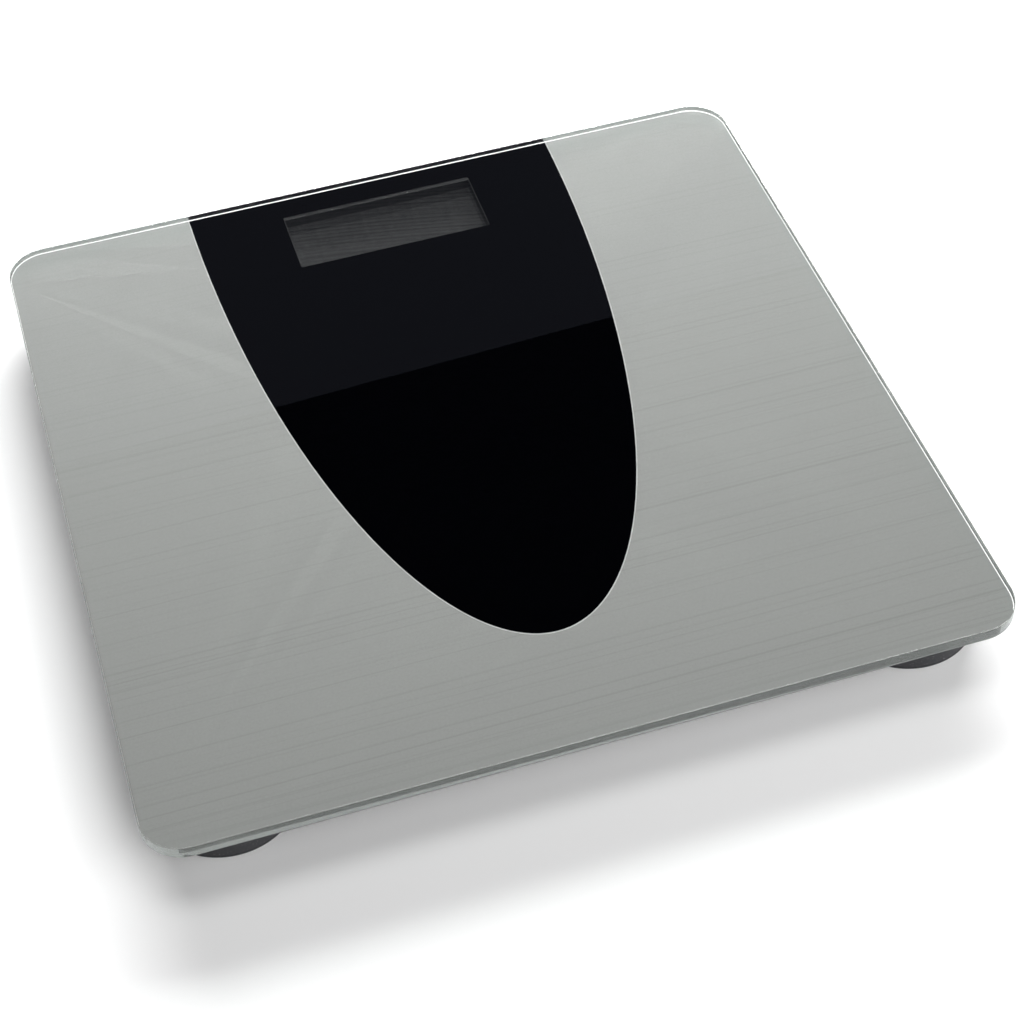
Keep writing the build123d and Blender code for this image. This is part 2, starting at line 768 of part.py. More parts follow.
with BuildPart() as unit_switch:
    with BuildSketch(Plane.XY.offset(switch_underside)):
        with Locations(button_place):
            Rectangle(switch_side, switch_side)
    extrude(amount=board_underside - switch_underside)
    with BuildSketch(Plane.XY.offset(switch_underside)):
        with Locations(button_place):
            Circle(plunger_radius + plunger_clearance)
    extrude(amount=plunger_underside + plunger_height + button_travel - switch_underside,
            mode=Mode.SUBTRACT)
save(unit_switch, "unit_switch")
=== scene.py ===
"""Looks for a digital bathroom scale: tempered glass over a brushed print, with a black panel and feet."""

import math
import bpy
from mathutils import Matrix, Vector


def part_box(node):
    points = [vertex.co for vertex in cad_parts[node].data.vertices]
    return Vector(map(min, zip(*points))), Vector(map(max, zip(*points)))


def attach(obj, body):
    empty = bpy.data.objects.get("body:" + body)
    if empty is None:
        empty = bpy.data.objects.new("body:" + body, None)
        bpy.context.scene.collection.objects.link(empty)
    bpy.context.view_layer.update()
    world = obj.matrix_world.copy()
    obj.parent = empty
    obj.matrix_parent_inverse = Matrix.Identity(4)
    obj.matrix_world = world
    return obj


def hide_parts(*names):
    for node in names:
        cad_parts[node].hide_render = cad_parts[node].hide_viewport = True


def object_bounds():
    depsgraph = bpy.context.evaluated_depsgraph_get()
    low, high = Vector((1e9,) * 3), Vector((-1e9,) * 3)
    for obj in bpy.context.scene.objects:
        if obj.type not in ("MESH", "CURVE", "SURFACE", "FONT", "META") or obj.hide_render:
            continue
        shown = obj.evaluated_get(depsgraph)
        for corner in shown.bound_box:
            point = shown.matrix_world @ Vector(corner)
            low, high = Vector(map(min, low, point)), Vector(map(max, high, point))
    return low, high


bl_info = {
    "name": "Glass Bathroom Scale",
    "version": (1, 0, 0),
    "blender": (4, 5, 0),
    "location": "View3D > Sidebar > Bathroom Scale",
    "description": "Finishes the pieces of a glass bathroom scale and sets them on a studio floor",
    "category": "Object",
}

import bpy
from bpy.props import FloatProperty, FloatVectorProperty, IntProperty, PointerProperty
from mathutils import Matrix, Vector

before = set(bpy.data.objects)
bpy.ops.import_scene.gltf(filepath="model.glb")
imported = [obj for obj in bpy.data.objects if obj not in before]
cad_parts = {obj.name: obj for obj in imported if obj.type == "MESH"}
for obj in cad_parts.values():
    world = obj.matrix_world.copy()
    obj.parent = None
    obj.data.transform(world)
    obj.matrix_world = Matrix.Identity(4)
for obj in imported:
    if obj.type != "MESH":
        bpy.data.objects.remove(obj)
CAD_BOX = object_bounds()

MM = 0.001
CORNERS = ("front_left", "front_right", "rear_left", "rear_right")

GLASS_IOR = 1.52
PANEL_LINE_INK = (0.40, 0.405, 0.40)
BLACK_INK = (0.0003, 0.00035, 0.0007)
FLOOR_SIZE = 8.0
FLOOR_GAP = 0.1 * MM
SENSOR_WIDTH = 36.0
WORLD_COLOUR = (0.9, 0.95, 1.0, 1.0)
WORLD_STRENGTH = 0.006


# ---------------------------------------------------------------- settings

class GlassSettings(bpy.types.PropertyGroup):
    """Shape and tint of the glass platform."""

    corner_radius: FloatProperty(
        name="Corner Radius", description="Radius of the platform's corners in plan",
        default=15.0 * MM, min=0.0, unit="LENGTH",
    )
    arris: FloatProperty(
        name="Arris", description="Width of the polished bevel along the top and bottom edges",
        default=0.4 * MM, min=0.0, unit="LENGTH",
    )
    tint: FloatVectorProperty(
        name="Tint", description="Colour of light that has passed through the glass",
        default=(0.992, 0.997, 0.992), subtype="COLOR", min=0.0, max=1.0,
    )
    side_tint: FloatVectorProperty(
        name="Side Tint", description="Colour of light that has passed through the sides of the glass",
        default=(0.95, 0.985, 0.975), subtype="COLOR", min=0.0, max=1.0,
    )
    side_roughness: FloatProperty(
        name="Side Roughness", description="How matt the sides of the glass are",
        default=0.22, min=0.0, max=1.0, subtype="FACTOR",
    )


class PrintSettings(bpy.types.PropertyGroup):
    """Colours of the prints under the glass, and the painted light on the silver print."""

    silver: FloatVectorProperty(
        name="Silver", description="Mean colour of the brushed silver print",
        default=(0.243, 0.247, 0.242), subtype="COLOR", min=0.0, max=1.0,
    )
    streaks: FloatProperty(
        name="Streaks", description="Depth of the dark brushed streaks",
        default=0.13, min=0.0, max=1.0, subtype="FACTOR",
    )
    # Painted light: how much lighter the silver print is painted at the back than in the middle, standing
    # in for the light and reflection of the lamps behind the scale.
    fade: FloatProperty(
        name="Fade", description="How much lighter the print is at the back than in the middle",
        default=0.12, min=0.0, max=1.0, subtype="FACTOR",
    )
    smoke: FloatProperty(
        name="Smoke", description="Share of light that passes the smoked window",
        default=0.6, min=0.0, max=1.0, subtype="FACTOR",
    )


class PlasticSettings(bpy.types.PropertyGroup):
    """Colours of the moulded parts."""

    tray: FloatVectorProperty(
        name="Tray", description="Colour of the base tray",
        default=(0.075, 0.075, 0.08), subtype="COLOR", min=0.0, max=1.0,
    )
    foot: FloatVectorProperty(
        name="Foot", description="Colour of the feet",
        default=(0.024, 0.025, 0.028), subtype="COLOR", min=0.0, max=1.0,
    )


class PadSettings(bpy.types.PropertyGroup):
    """Shape of the rubber pad under each foot."""

    spigot: FloatProperty(
        name="Spigot", description="Height of the spigot that plugs into the cup",
        default=1.6 * MM, min=0.0, unit="LENGTH",
    )
    spigot_step: FloatProperty(
        name="Spigot Step", description="How far the spigot is set in from the side of the pad",
        default=2.05 * MM, min=0.0, unit="LENGTH",
    )
    edge: FloatProperty(
        name="Edge", description="Radius of the lower edge",
        default=0.7 * MM, min=0.0, unit="LENGTH",
    )
    rings: IntProperty(
        name="Rings", description="Grip grooves on the underside",
        default=4, min=1, max=8,
    )
    ridge: FloatProperty(
        name="Ridge", description="Width of the ridge between two grooves",
        default=2.6 * MM, min=0.0, unit="LENGTH",
    )
    groove: FloatProperty(
        name="Groove", description="Width of the floor of a groove",
        default=1.1 * MM, min=0.0, unit="LENGTH",
    )
    groove_depth: FloatProperty(
        name="Groove Depth", description="Depth of a groove",
        default=0.5 * MM, min=0.0, unit="LENGTH",
    )


class StageSettings(bpy.types.PropertyGroup):
    """Camera, lights and floor."""

    azimuth: FloatProperty(
        name="Azimuth", description="Turn of the camera about the scale; negative is to its left",
        default=math.radians(-14.93), subtype="ANGLE",
    )
    elevation: FloatProperty(
        name="Elevation", description="Height of the camera above the floor, as an angle",
        default=math.radians(47.44), subtype="ANGLE",
    )
    distance: FloatProperty(
        name="Distance", description="From the camera to the point that it looks at",
        default=0.79125, min=0.1, unit="LENGTH",
    )
    roll: FloatProperty(
        name="Roll", description="Turn of the camera about its own line of sight",
        default=math.radians(-3.0), subtype="ANGLE",
    )
    lens: FloatProperty(
        name="Lens", description="Focal length of the camera in millimetres",
        default=78.46, min=10.0,
    )
    target: FloatVectorProperty(
        name="Target", description="Point under the glass that the camera looks at",
        default=(1.75 * MM, -42.9 * MM, 18.5 * MM), subtype="TRANSLATION",
    )
    floor_colour: FloatVectorProperty(
        name="Floor", description="Colour of the studio floor",
        default=(0.93, 0.93, 0.93), subtype="COLOR", min=0.0, max=1.0,
    )


# ---------------------------------------------------------------- material tools

def start_material(name):
    """A new material with its tree, its Principled shader and its output."""
    material = bpy.data.materials.new(name)
    material.use_nodes = True
    tree = material.node_tree
    return material, tree, tree.nodes["Principled BSDF"], tree.nodes["Material Output"]


def add_node(tree, kind, inputs=None, **settings):
    """Add a node, set its plain settings, and set or link its inputs."""
    node = tree.nodes.new(kind)
    for key, value in settings.items():
        setattr(node, key, value)
    for key, value in (inputs or {}).items():
        if isinstance(value, bpy.types.NodeSocket):
            tree.links.new(value, node.inputs[key])
        else:
            node.inputs[key].default_value = value
    return node


def stretched_coordinates(tree, stretch):
    """Object coordinates multiplied along each axis."""
    place = add_node(tree, "ShaderNodeTexCoord")
    mapping = add_node(tree, "ShaderNodeMapping", {"Vector": place.outputs["Object"], "Scale": stretch})
    return mapping.outputs["Vector"]


def noise(tree, stretch, detail=4.0, roughness=0.55):
    """Soft noise whose grain is set by the stretch along each axis."""
    vector = stretched_coordinates(tree, stretch)
    texture = add_node(tree, "ShaderNodeTexNoise",
                       {"Vector": vector, "Scale": 1.0, "Detail": detail, "Roughness": roughness})
    return texture.outputs["Fac"]


def remap(tree, value, low, high, new_low, new_high):
    """Map a value from one range to another."""
    node = add_node(tree, "ShaderNodeMapRange", {
        "Value": value, "From Min": low, "From Max": high, "To Min": new_low, "To Max": new_high})
    return node.outputs["Result"]


def mix_colours(tree, factor, first, second, blend="MIX"):
    """Mix two colours by a factor."""
    node = tree.nodes.new("ShaderNodeMix")
    node.data_type = "RGBA"
    node.blend_type = blend
    factor_socket, first_socket, second_socket = node.inputs["Factor"], node.inputs[6], node.inputs[7]
    for socket, value in ((factor_socket, factor), (first_socket, first), (second_socket, second)):
        if isinstance(value, bpy.types.NodeSocket):
            tree.links.new(value, socket)
        else:
            socket.default_value = value
    return node.outputs[2]


def add_bump(tree, shader, height, strength, distance):
    """Raise the surface by a height value."""
    bump = add_node(tree, "ShaderNodeBump", {"Height": height, "Strength": strength, "Distance": distance})
    tree.links.new(bump.outputs["Normal"], shader.inputs["Normal"])


def opaque(colour):
    """A colour with full alpha."""
    return (colour[0], colour[1], colour[2], 1.0)


def scaled(colour, share):
    """A colour multiplied by a share."""
    return (colour[0] * share, colour[1] * share, colour[2] * share, 1.0)


def let_lamps_through(tree, shader, output, tint):
    """Show the shader, but pass light from lamps and from dull surfaces straight through with a tint."""
    path = add_node(tree, "ShaderNodeLightPath")
    clear = add_node(tree, "ShaderNodeBsdfTransparent", {"Color": opaque(tint)})
    for ray in ("Is Diffuse Ray", "Is Shadow Ray"):
        mix = add_node(tree, "ShaderNodeMixShader", {0: path.outputs[ray]})
        tree.links.new(shader.outputs[0], mix.inputs[1])
        tree.links.new(clear.outputs[0], mix.inputs[2])
        shader = mix
    tree.links.new(shader.outputs[0], output.inputs["Surface"])


# ---------------------------------------------------------------- materials

def clear_glass(name, tint, roughness):
    """Tempered glass that passes light from lamps, polished or a little matt."""
    material, tree, principled, output = start_material(name)
    tree.nodes.remove(principled)
    glass = add_node(tree, "ShaderNodeBsdfGlass", {
        "Color": opaque(tint), "Roughness": roughness, "IOR": GLASS_IOR})
    let_lamps_through(tree, glass, output, tint)
    return material


def brushed_print(colour, streaks, fade):
    """Silver print with long thin streaks along X, painted lighter towards the back and darker towards the
    front as painted light and reflection from the lamps behind; bonded to the glass, so it has no gloss of
    its own.
    """
    material, tree, principled, output = start_material("brushed_silver_print")
    place = add_node(tree, "ShaderNodeTexCoord").outputs["Object"]
    depth = add_node(tree, "ShaderNodeSeparateXYZ", {"Vector": place}).outputs["Y"]
    half = CAD_BOX[1].y
    # Painted light: the print's colour is ramped lighter towards the back and darker towards the front, in
    # place of the light and reflection of the lamps behind.
    painted_back_light_ramp = remap(tree, depth, -half, half, 1 - fade, 1 + fade)
    threads = noise(tree, (0.7, 620.0, 1.0), detail=3.0, roughness=0.6)
    bunches = remap(tree, noise(tree, (0.5, 70.0, 1.0), detail=1.0), 0.35, 0.55, 0.25, 1.0)
    lines = remap(tree, threads, 0.36, 0.48, streaks, 0.0)
    lines = add_node(tree, "ShaderNodeMath", {0: lines, 1: bunches}, operation="MULTIPLY").outputs[0]
    weaker = remap(tree, depth, -half, half, 1.0, 0.25)
    lines = add_node(tree, "ShaderNodeMath", {0: lines, 1: weaker}, operation="MULTIPLY").outputs[0]
    sparkle = remap(tree, noise(tree, (1100.0, 1100.0, 1.0), detail=2.0), 0.3, 0.7, 0.97, 1.03)
    light = add_node(tree, "ShaderNodeMath", {0: painted_back_light_ramp, 1: lines}, operation="SUBTRACT").outputs[0]
    light = add_node(tree, "ShaderNodeMath", {0: light, 1: sparkle}, operation="MULTIPLY").outputs[0]
    tone = add_node(tree, "ShaderNodeVectorMath", {0: colour, "Scale": light}, operation="SCALE").outputs[0]
    tree.links.new(tone, principled.inputs["Base Color"])
    principled.inputs["Metallic"].default_value = 0.2
    principled.inputs["Roughness"].default_value = 0.5
    principled.inputs["Specular IOR Level"].default_value = 0.0
    return material


def plain_print(name, colour, roughness, gloss=0.5):
    """Flat ink with the faint mottle of a screen print. Ink that is bonded to glass has no gloss."""
    material, tree, principled, output = start_material(name)
    mottle = noise(tree, (300.0, 300.0, 300.0))
    amount = remap(tree, mottle, 0.35, 0.65, 0.0, 1.0)
    tone = mix_colours(tree, amount, scaled(colour, 0.9), scaled(colour, 1.1))
    tree.links.new(tone, principled.inputs["Base Color"])
    principled.inputs["Roughness"].default_value = roughness
    principled.inputs["Specular IOR Level"].default_value = gloss
    return material


def studio_paper(colour):
    """Pale seamless paper with hardly any tooth."""
    material, tree, principled, output = start_material("studio_paper")
    tooth = noise(tree, (900.0, 900.0, 900.0), detail=2.0)
    tone = mix_colours(tree, tooth, scaled(colour, 0.995), scaled(colour, 1.005))
    tree.links.new(tone, principled.inputs["Base Color"])
    principled.inputs["Roughness"].default_value = 0.95
    principled.inputs["Specular IOR Level"].default_value = 0.1
    return material


def smoked_print(share):
    """Smoked ink that lets part of the light through."""
    material, tree, principled, output = start_material("smoked_window_print")
    mottle = noise(tree, (400.0, 400.0, 400.0))
    tone = remap(tree, mottle, 0.3, 0.7, share * 0.97, share * 1.03)
    colour = add_node(tree, "ShaderNodeCombineColor", {"Red": tone, "Green": tone, "Blue": tone})
    clear = add_node(tree, "ShaderNodeBsdfTransparent", {"Color": colour.outputs["Color"]})
    tree.nodes.remove(principled)
    tree.links.new(clear.outputs[0], output.inputs["Surface"])
    return material


def moulded_plastic(name, colour, roughness=0.5, speckle=0.0, texture=2200.0, bump=0.25):
    """Moulded plastic with a fine spark-eroded texture and, where asked, pale speckles."""
    material, tree, principled, output = start_material(name)
    grain = noise(tree, (texture, texture, texture), detail=2.0)
    patches = noise(tree, (25.0, 25.0, 25.0), detail=3.0)
    amount = remap(tree, patches, 0.3, 0.7, 0.0, 1.0)
    tone = mix_colours(tree, amount, scaled(colour, 0.93), scaled(colour, 1.07))
    if speckle:
        dots = remap(tree, grain, 0.62, 0.72, 0.0, speckle)
        tone = mix_colours(tree, dots, tone, (0.35, 0.35, 0.36, 1.0))
    tree.links.new(tone, principled.inputs["Base Color"])
    gloss = remap(tree, grain, 0.3, 0.7, roughness * 0.9, roughness * 1.1)
    tree.links.new(gloss, principled.inputs["Roughness"])
    add_bump(tree, principled, grain, bump, 0.0001)
    return material


def worn_metal(name, colour, roughness, stretch=(200.0, 3000.0, 200.0), metallic=1.0):
    """Metal with fine drawn lines and a little change in its gloss."""
    material, tree, principled, output = start_material(name)
    lines = noise(tree, stretch, detail=5.0, roughness=0.6)
    amount = remap(tree, lines, 0.3, 0.7, 0.0, 1.0)
    tone = mix_colours(tree, amount, scaled(colour, 0.9), scaled(colour, 1.08))
    tree.links.new(tone, principled.inputs["Base Color"])
    gloss = remap(tree, lines, 0.3, 0.7, roughness * 0.75, roughness * 1.25)
    tree.links.new(gloss, principled.inputs["Roughness"])
    principled.inputs["Metallic"].default_value = metallic
    add_bump(tree, principled, lines, 0.08, 0.00005)
    return material


def display_face(colour, painted_glow):
    """Grey face of an unlit display, with fine upright lines; it gives off a faint painted light that
    stands in for even lighting and evens out its shade.
    """
    material, tree, principled, output = start_material("display_face")
    lines = noise(tree, (620.0, 25.0, 1.0), detail=2.0)
    amount = remap(tree, lines, 0.35, 0.65, 0.0, 1.0)
    tone = mix_colours(tree, amount, scaled(colour, 0.88), scaled(colour, 1.12))
    tree.links.new(tone, principled.inputs["Base Color"])
    tree.links.new(tone, principled.inputs["Emission Color"])
    principled.inputs["Emission Strength"].default_value = painted_glow
    principled.inputs["Roughness"].default_value = 0.7
    principled.inputs["Specular IOR Level"].default_value = 0.0
    return material


def board_mask():
    """Green solder mask over etched tracks, with bare fibre at the edges."""
    material, tree, principled, output = start_material("board_solder_mask")
    tracks = add_node(tree, "ShaderNodeTexBrick", {
        "Vector": stretched_coordinates(tree, (260.0, 260.0, 1.0)), "Scale": 1.0,
        "Color1": (0.012, 0.13, 0.05, 1.0), "Color2": (0.016, 0.17, 0.06, 1.0),
        "Mortar": (0.035, 0.25, 0.10, 1.0), "Mortar Size": 0.06}, offset=0.37)
    tree.links.new(tracks.outputs["Color"], principled.inputs["Base Color"])
    principled.inputs["Roughness"].default_value = 0.3
    add_bump(tree, principled, tracks.outputs["Fac"], 0.3, 0.00004)
    return material


def striped_rubber():
    """Clear silicone with fine conducting stripes."""
    material, tree, principled, output = start_material("zebra_silicone")
    wave = add_node(tree, "ShaderNodeTexWave", {
        "Vector": stretched_coordinates(tree, (1500.0, 1.0, 1.0)), "Scale": 1.0}, bands_direction="X")
    tone = mix_colours(tree, wave.outputs["Fac"], (0.55, 0.52, 0.48, 1.0), (0.02, 0.02, 0.02, 1.0))
    tree.links.new(tone, principled.inputs["Base Color"])
    principled.inputs["Roughness"].default_value = 0.6
    return material


def wire_sheaths():
    """Red, black and white sheaths, one colour for each strand."""
    material, tree, principled, output = start_material("wire_sheaths")
    strand = add_node(tree, "ShaderNodeNewGeometry").outputs["Random Per Island"]
    ramp = add_node(tree, "ShaderNodeValToRGB", {"Fac": strand})
    ramp.color_ramp.interpolation = "CONSTANT"
    red, black, white = (0.45, 0.02, 0.015, 1.0), (0.012, 0.012, 0.012, 1.0), (0.7, 0.7, 0.68, 1.0)
    ramp.color_ramp.elements[0].color = red
    ramp.color_ramp.elements[1].position = 0.33
    ramp.color_ramp.elements[1].color = black
    ramp.color_ramp.elements.new(0.66).color = white
    scuff = noise(tree, (600.0, 600.0, 600.0))
    tone = mix_colours(tree, remap(tree, scuff, 0.4, 0.7, 0.0, 0.12), ramp.outputs["Color"],
                       (0.3, 0.3, 0.3, 1.0))
    tree.links.new(tone, principled.inputs["Base Color"])
    principled.inputs["Roughness"].default_value = 0.42
    return material


# ---------------------------------------------------------------- modelling tools

def finish_node(name, material):
    """Give a part of the frame its material."""
    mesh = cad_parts[name].data
    mesh.materials.clear()
    mesh.materials.append(material)


def nothing_selected():
    """Leave edit mode and drop the selection."""
    if bpy.context.mode != "OBJECT":
        bpy.ops.object.mode_set(mode="OBJECT")
    bpy.ops.object.select_all(action="DESELECT")


def select_edges(piece, wanted):
    """Select the edges of a piece whose two ends pass a test, ready for an edit-mode operator."""
    bpy.ops.object.mode_set(mode="EDIT")
    bpy.ops.mesh.select_mode(type="EDGE")
    bpy.ops.mesh.select_all(action="DESELECT")
    bpy.ops.object.mode_set(mode="OBJECT")
    points = piece.data.vertices
    for edge in piece.data.edges:
        first, second = (points[i].co for i in edge.vertices)
        edge.select = wanted(first, second)
    bpy.ops.object.mode_set(mode="EDIT")


def select_faces(piece, wanted):
    """Select the faces of a piece whose middle and normal pass a test, ready for an edit-mode operator."""
    bpy.ops.object.mode_set(mode="EDIT")
    bpy.ops.mesh.select_mode(type="FACE")
    bpy.ops.mesh.select_all(action="DESELECT")
    bpy.ops.object.mode_set(mode="OBJECT")
    for face in piece.data.polygons:
        face.select = wanted(face.center, face.normal)
    bpy.ops.object.mode_set(mode="EDIT")


def copy_piece(piece, offset):
    """A copy of a piece with a mesh of its own, moved by an offset and left at the origin."""
    nothing_selected()
    piece.select_set(True)
    bpy.context.view_layer.objects.active = piece
    bpy.ops.object.duplicate(linked=False)
    bpy.ops.transform.translate(value=offset)
    bpy.ops.object.transform_apply(location=True, rotation=True, scale=True)
    return bpy.context.object


def close_piece(piece, name, body, angle=math.radians(30)):
    """Turn the faces out, smooth them, name the piece and let it ride on its body."""
    bpy.ops.object.mode_set(mode="EDIT")
    bpy.ops.mesh.select_all(action="SELECT")
    bpy.ops.mesh.remove_doubles(threshold=0.000002)
    bpy.ops.mesh.normals_make_consistent(inside=False)
    bpy.ops.object.mode_set(mode="OBJECT")
    bpy.ops.object.shade_smooth_by_angle(angle=angle)
    piece.name = name
    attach(piece, body)


def keep_large_faces_flat(piece):
    """Let the large faces of a smoothed piece set the normals at their edges."""
    bpy.ops.object.modifier_add(type="WEIGHTED_NORMAL")
    piece.modifiers[-1].weight = 100
    bpy.ops.object.modifier_apply(modifier=piece.modifiers[-1].name)


# ---------------------------------------------------------------- pieces

class SCALE_OT_platform_glass(bpy.types.Operator):
    """Model the glass platform with polished sides and an arris along every edge"""

    bl_idname = "scale.platform_glass"
    bl_label = "Platform Glass"

    def execute(self, context):
        glass = context.scene.scale_glass
        low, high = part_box("glass_platform")
        nothing_selected()
        bpy.ops.mesh.primitive_cube_add(size=1.0, location=(low + high) / 2, scale=high - low)
        piece = context.object
        bpy.ops.object.transform_apply(location=True, rotation=True, scale=True)
        select_edges(piece, lambda a, b: abs(a.z - b.z) > 1 * MM)
        bpy.ops.mesh.bevel(offset=glass.corner_radius, segments=24, affect="EDGES")
        select_edges(piece, lambda a, b: abs(a.z - b.z) < 0.1 * MM)
        bpy.ops.mesh.bevel(offset=glass.arris, segments=3, profile=0.4, affect="EDGES")
        bpy.ops.object.mode_set(mode="OBJECT")
        piece.data.materials.append(clear_glass("tempered_glass", glass.tint, 0.0))
        side = clear_glass("ground_glass_side", glass.side_tint, glass.side_roughness)
        piece.data.materials.append(side)
        for face in piece.data.polygons:
            face.material_index = 1 if abs(face.normal.z) < 0.1 else 0
        close_piece(piece, "platform_glass", "base", angle=math.radians(40))
        keep_large_faces_flat(piece)
        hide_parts("glass_platform")
        return {"FINISHED"}


class SCALE_OT_prints(bpy.types.Operator):
    """Finish the prints on the underside of the glass and the tape under them"""

    bl_idname = "scale.prints"
    bl_label = "Prints and Tape"

    def execute(self, context):
        prints = context.scene.scale_prints
        finish_node("silver_film", brushed_print(prints.silver, prints.streaks, prints.fade))
        finish_node("panel_line_film", plain_print("panel_line_ink", PANEL_LINE_INK, 0.4, gloss=0.0))
        finish_node("black_panel_film", plain_print("black_panel_ink", BLACK_INK, 0.3, gloss=0.0))
        finish_node("window_film", smoked_print(prints.smoke))
        finish_node("bonding_tape", moulded_plastic("foam_tape", (0.03, 0.03, 0.03), 0.9, texture=1500.0))
        return {"FINISHED"}


class SCALE_OT_tray(bpy.types.Operator):
    """Finish the base tray, the battery door and the unit button"""

    bl_idname = "scale.tray"
    bl_label = "Tray, Door and Button"

    def execute(self, context):
        plastic = context.scene.scale_plastic
        finish_node("base_tray", moulded_plastic("tray_plastic", plastic.tray, 0.55))
        finish_node("battery_door", moulded_plastic("door_plastic", plastic.tray, 0.5, texture=1800.0))
        finish_node("unit_button", moulded_plastic("button_plastic", (0.42, 0.42, 0.43), 0.4))
        finish_node("switch_plunger", moulded_plastic("plunger_plastic", (0.02, 0.02, 0.02), 0.4))
        finish_node("unit_switch", worn_metal("switch_cover_steel", (0.62, 0.62, 0.62), 0.35))
        return {"FINISHED"}


def rubber_pad(pad, material):
    """Model the pad of the first corner: a disc with a spigot above and grip grooves below."""
    low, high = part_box(f"foot_pad_{CORNERS[0]}")
    thickness = high.z - low.z - pad.spigot
    middle = Vector(((low.x + high.x) / 2, (low.y + high.y) / 2, low.z + thickness / 2))
    nothing_selected()
    bpy.ops.mesh.primitive_cylinder_add(
        vertices=96, radius=(high.x - low.x) / 2, depth=thickness, location=middle)
    piece = bpy.context.object
    bpy.ops.object.transform_apply(location=True, rotation=True, scale=True)
    select_edges(piece, lambda a, b: a.z < middle.z and b.z < middle.z)
    bpy.ops.mesh.bevel(offset=pad.edge, segments=4, affect="EDGES")
    select_faces(piece, lambda place, normal: normal.z > 0.9)
    bpy.ops.mesh.inset(thickness=pad.spigot_step)
    bpy.ops.mesh.extrude_region_move(TRANSFORM_OT_translate={"value": (0.0, 0.0, pad.spigot)})
    select_faces(piece, lambda place, normal: normal.z < -0.9 and abs(place.z - low.z) < 0.01 * MM)
    slope = pad.groove_depth / 3
    for ring in range(pad.rings):
        bpy.ops.mesh.inset(thickness=pad.ridge)
        bpy.ops.mesh.inset(thickness=slope, depth=-pad.groove_depth)
        bpy.ops.mesh.inset(thickness=pad.groove)
        bpy.ops.mesh.inset(thickness=slope, depth=pad.groove_depth)
    bpy.ops.object.mode_set(mode="OBJECT")
    piece.data.materials.append(material)
    return piece


class SCALE_OT_feet(bpy.types.Operator):
    """Finish the foot cups and model their ringed rubber pads"""

    bl_idname = "scale.feet"
    bl_label = "Feet"

    def execute(self, context):
        plastic = context.scene.scale_plastic
        cup = moulded_plastic("foot_plastic", plastic.foot, 0.6, speckle=0.5, texture=1500.0)
        pad_colour = scaled(plastic.foot, 0.85)
        rubber = moulded_plastic("foot_rubber", pad_colour, 0.8, speckle=0.25, texture=1700.0)
        first = rubber_pad(context.scene.scale_pad, rubber)
        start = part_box(f"foot_pad_{CORNERS[0]}")[0]
        pads = [copy_piece(first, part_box(f"foot_pad_{corner}")[0] - start) for corner in CORNERS[1:]]
        for corner, piece in zip(CORNERS, [first] + pads):
            nothing_selected()
            piece.select_set(True)
            context.view_layer.objects.active = piece
            close_piece(piece, f"rubber_pad_{corner}", f"foot_{corner}")
            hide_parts(f"foot_pad_{corner}")
            finish_node(f"foot_cup_{corner}", cup)
        return {"FINISHED"}


class SCALE_OT_load_cells(bpy.types.Operator):
    """Finish the load cells, their gauges, cushions, retainers and wires"""

    bl_idname = "scale.load_cells"
    bl_label = "Load Cells"

    def execute(self, context):
        steel = worn_metal("cell_steel", (0.58, 0.58, 0.57), 0.32)
        gauge = plain_print("gauge_foil", (0.62, 0.36, 0.10), 0.25)
        cushion = moulded_plastic("cushion_silicone", (0.42, 0.42, 0.40), 0.7)
        retainer = moulded_plastic("retainer_plastic", (0.66, 0.66, 0.63), 0.5)
        sheaths = wire_sheaths()
        for corner in CORNERS:
            finish_node(f"load_cell_{corner}", steel)
            finish_node(f"strain_gauge_{corner}", gauge)
            finish_node(f"cell_cushion_{corner}", cushion)
            finish_node(f"cell_retainer_{corner}", retainer)
            finish_node(f"cell_wires_{corner}", sheaths)
        finish_node("retainer_screws", worn_metal("screw_nickel", (0.66, 0.64, 0.60), 0.28))
        return {"FINISHED"}


class SCALE_OT_electronics(bpy.types.Operator):
    """Finish the display, the circuit board, the battery and its contacts"""

    bl_idname = "scale.electronics"
    bl_label = "Display, Board and Battery"

    def execute(self, context):
        # The display face gives off a faint painted light of 0.32 in place of even lighting; the reflector
        # below gives off none.
        finish_node("lcd_polariser", display_face((0.22, 0.223, 0.227), 0.32))
        finish_node("lcd_reflector", display_face((0.23, 0.236, 0.236), 0.0))
        finish_node("lcd_cell", plain_print("display_glass", (0.20, 0.21, 0.20), 0.12))
        finish_node("lcd_holder", moulded_plastic("holder_plastic", (0.07, 0.07, 0.074), 0.6))
        finish_node("zebra_strip", striped_rubber())
        finish_node("main_board", board_mask())
        finish_node("board_screws", worn_metal("board_screw_nickel", (0.66, 0.64, 0.60), 0.28))
        finish_node("controller_chip", plain_print("chip_epoxy", (0.012, 0.012, 0.013), 0.3))
        finish_node("board_components", plain_print("component_ceramic", (0.32, 0.21, 0.12), 0.45))
        finish_node("wire_terminals", worn_metal("bright_solder", (0.68, 0.68, 0.69), 0.22))
        finish_node("battery", worn_metal("battery_steel", (0.70, 0.70, 0.69), 0.22))
        contact = worn_metal("contact_spring", (0.72, 0.66, 0.52), 0.3)
        finish_node("contact_positive", contact)
        finish_node("contact_negative", contact)
        return {"FINISHED"}


# ---------------------------------------------------------------- stage

def add_area_light(name, place, aim, width, depth, power):
    """A soft lamp that faces a point."""
    data = bpy.data.lights.new(name, "AREA")
    data.shape = "RECTANGLE"
    data.size = width
    data.size_y = depth
    data.energy = power
    lamp = bpy.data.objects.new(name, data)
    bpy.context.scene.collection.objects.link(lamp)
    lamp.location = place
    lamp.rotation_euler = (Vector(place) - Vector(aim)).to_track_quat("Z", "Y").to_euler()
    return lamp


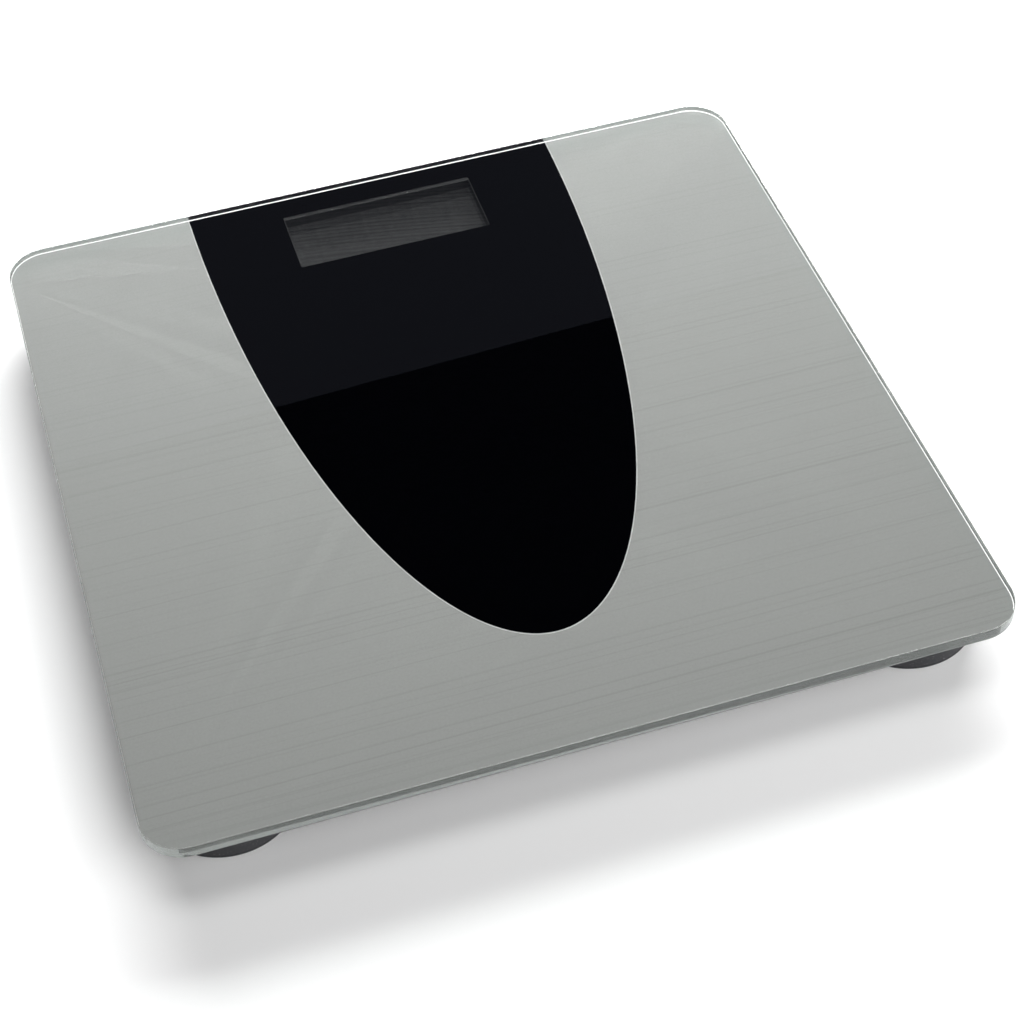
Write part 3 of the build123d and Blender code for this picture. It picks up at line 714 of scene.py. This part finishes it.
class SCALE_OT_stage(bpy.types.Operator):
    """Set the scale on a pale studio floor with soft lamps and the camera"""

    bl_idname = "scale.stage"
    bl_label = "Studio Stage"

    def execute(self, context):
        stage = context.scene.scale_stage
        nothing_selected()
        bpy.ops.mesh.primitive_plane_add(size=FLOOR_SIZE, location=(0.0, 0.0, -FLOOR_GAP))
        floor = context.object
        floor.name = "studio_floor"
        floor.data.materials.append(studio_paper(stage.floor_colour))

        data = bpy.data.cameras.new("camera")
        data.lens = stage.lens
        data.sensor_width = SENSOR_WIDTH
        data.clip_start = 0.01
        camera = bpy.data.objects.new("camera", data)
        context.scene.collection.objects.link(camera)
        back = Vector((
            math.sin(stage.azimuth) * math.cos(stage.elevation),
            -math.cos(stage.azimuth) * math.cos(stage.elevation),
            math.sin(stage.elevation),
        ))
        side = Vector((0.0, 0.0, 1.0)).cross(back).normalized()
        rise = back.cross(side)
        right = side * math.cos(stage.roll) + rise * math.sin(stage.roll)
        up = rise * math.cos(stage.roll) - side * math.sin(stage.roll)
        turn = Matrix((right, up, back)).transposed().to_4x4()
        camera.matrix_world = Matrix.Translation(Vector(stage.target) + back * stage.distance) @ turn
        context.scene.camera = camera

        add_area_light("overhead_softbox", (0.05, 0.25, 1.2), (0.0, 0.1, 0.0), 1.2, 0.6, 5.0)
        add_area_light("rear_softbox", (0.35, 1.4, 0.62), (0.0, 0.1, 0.1), 1.8, 0.6, 72.0)
        add_area_light("front_fill", (0.8, -1.1, 0.75), (0.0, 0.0, 0.0), 1.8, 1.0, 26.0)
        card = add_area_light("dim_card", (0.35, 1.799, 1.3), (0.35, 1.798, 0.0), 2.4, 0.9, 0.62)
        card.rotation_euler.z += math.radians(2.4)
        card.data.color = (0.88, 0.94, 1.2)
        world = bpy.data.worlds.new("studio")
        world.use_nodes = True
        background = world.node_tree.nodes["Background"]
        background.inputs["Color"].default_value = WORLD_COLOUR
        background.inputs["Strength"].default_value = WORLD_STRENGTH
        context.scene.world = world
        context.scene.view_settings.view_transform = "Standard"
        return {"FINISHED"}


class SCALE_PT_panel(bpy.types.Panel):
    """Lists the steps that finish the scale"""

    bl_idname = "SCALE_PT_panel"
    bl_label = "Bathroom Scale"
    bl_space_type = "VIEW_3D"
    bl_region_type = "UI"
    bl_category = "Bathroom Scale"

    def draw(self, context):
        for name in STEPS:
            self.layout.operator(name)


STEPS = (
    "scale.platform_glass",
    "scale.prints",
    "scale.tray",
    "scale.feet",
    "scale.load_cells",
    "scale.electronics",
    "scale.stage",
)

CLASSES = (
    GlassSettings,
    PrintSettings,
    PlasticSettings,
    PadSettings,
    StageSettings,
    SCALE_OT_platform_glass,
    SCALE_OT_prints,
    SCALE_OT_tray,
    SCALE_OT_feet,
    SCALE_OT_load_cells,
    SCALE_OT_electronics,
    SCALE_OT_stage,
    SCALE_PT_panel,
)


def register():
    for cls in CLASSES:
        bpy.utils.register_class(cls)
    bpy.types.Scene.scale_glass = PointerProperty(type=GlassSettings)
    bpy.types.Scene.scale_prints = PointerProperty(type=PrintSettings)
    bpy.types.Scene.scale_plastic = PointerProperty(type=PlasticSettings)
    bpy.types.Scene.scale_pad = PointerProperty(type=PadSettings)
    bpy.types.Scene.scale_stage = PointerProperty(type=StageSettings)


def unregister():
    del bpy.types.Scene.scale_stage
    del bpy.types.Scene.scale_pad
    del bpy.types.Scene.scale_plastic
    del bpy.types.Scene.scale_prints
    del bpy.types.Scene.scale_glass
    for cls in reversed(CLASSES):
        bpy.utils.unregister_class(cls)


def main():
    register()
    for name in STEPS:
        group, step = name.split(".")
        getattr(getattr(bpy.ops, group), step)()


if __name__ == "__main__":
    main()
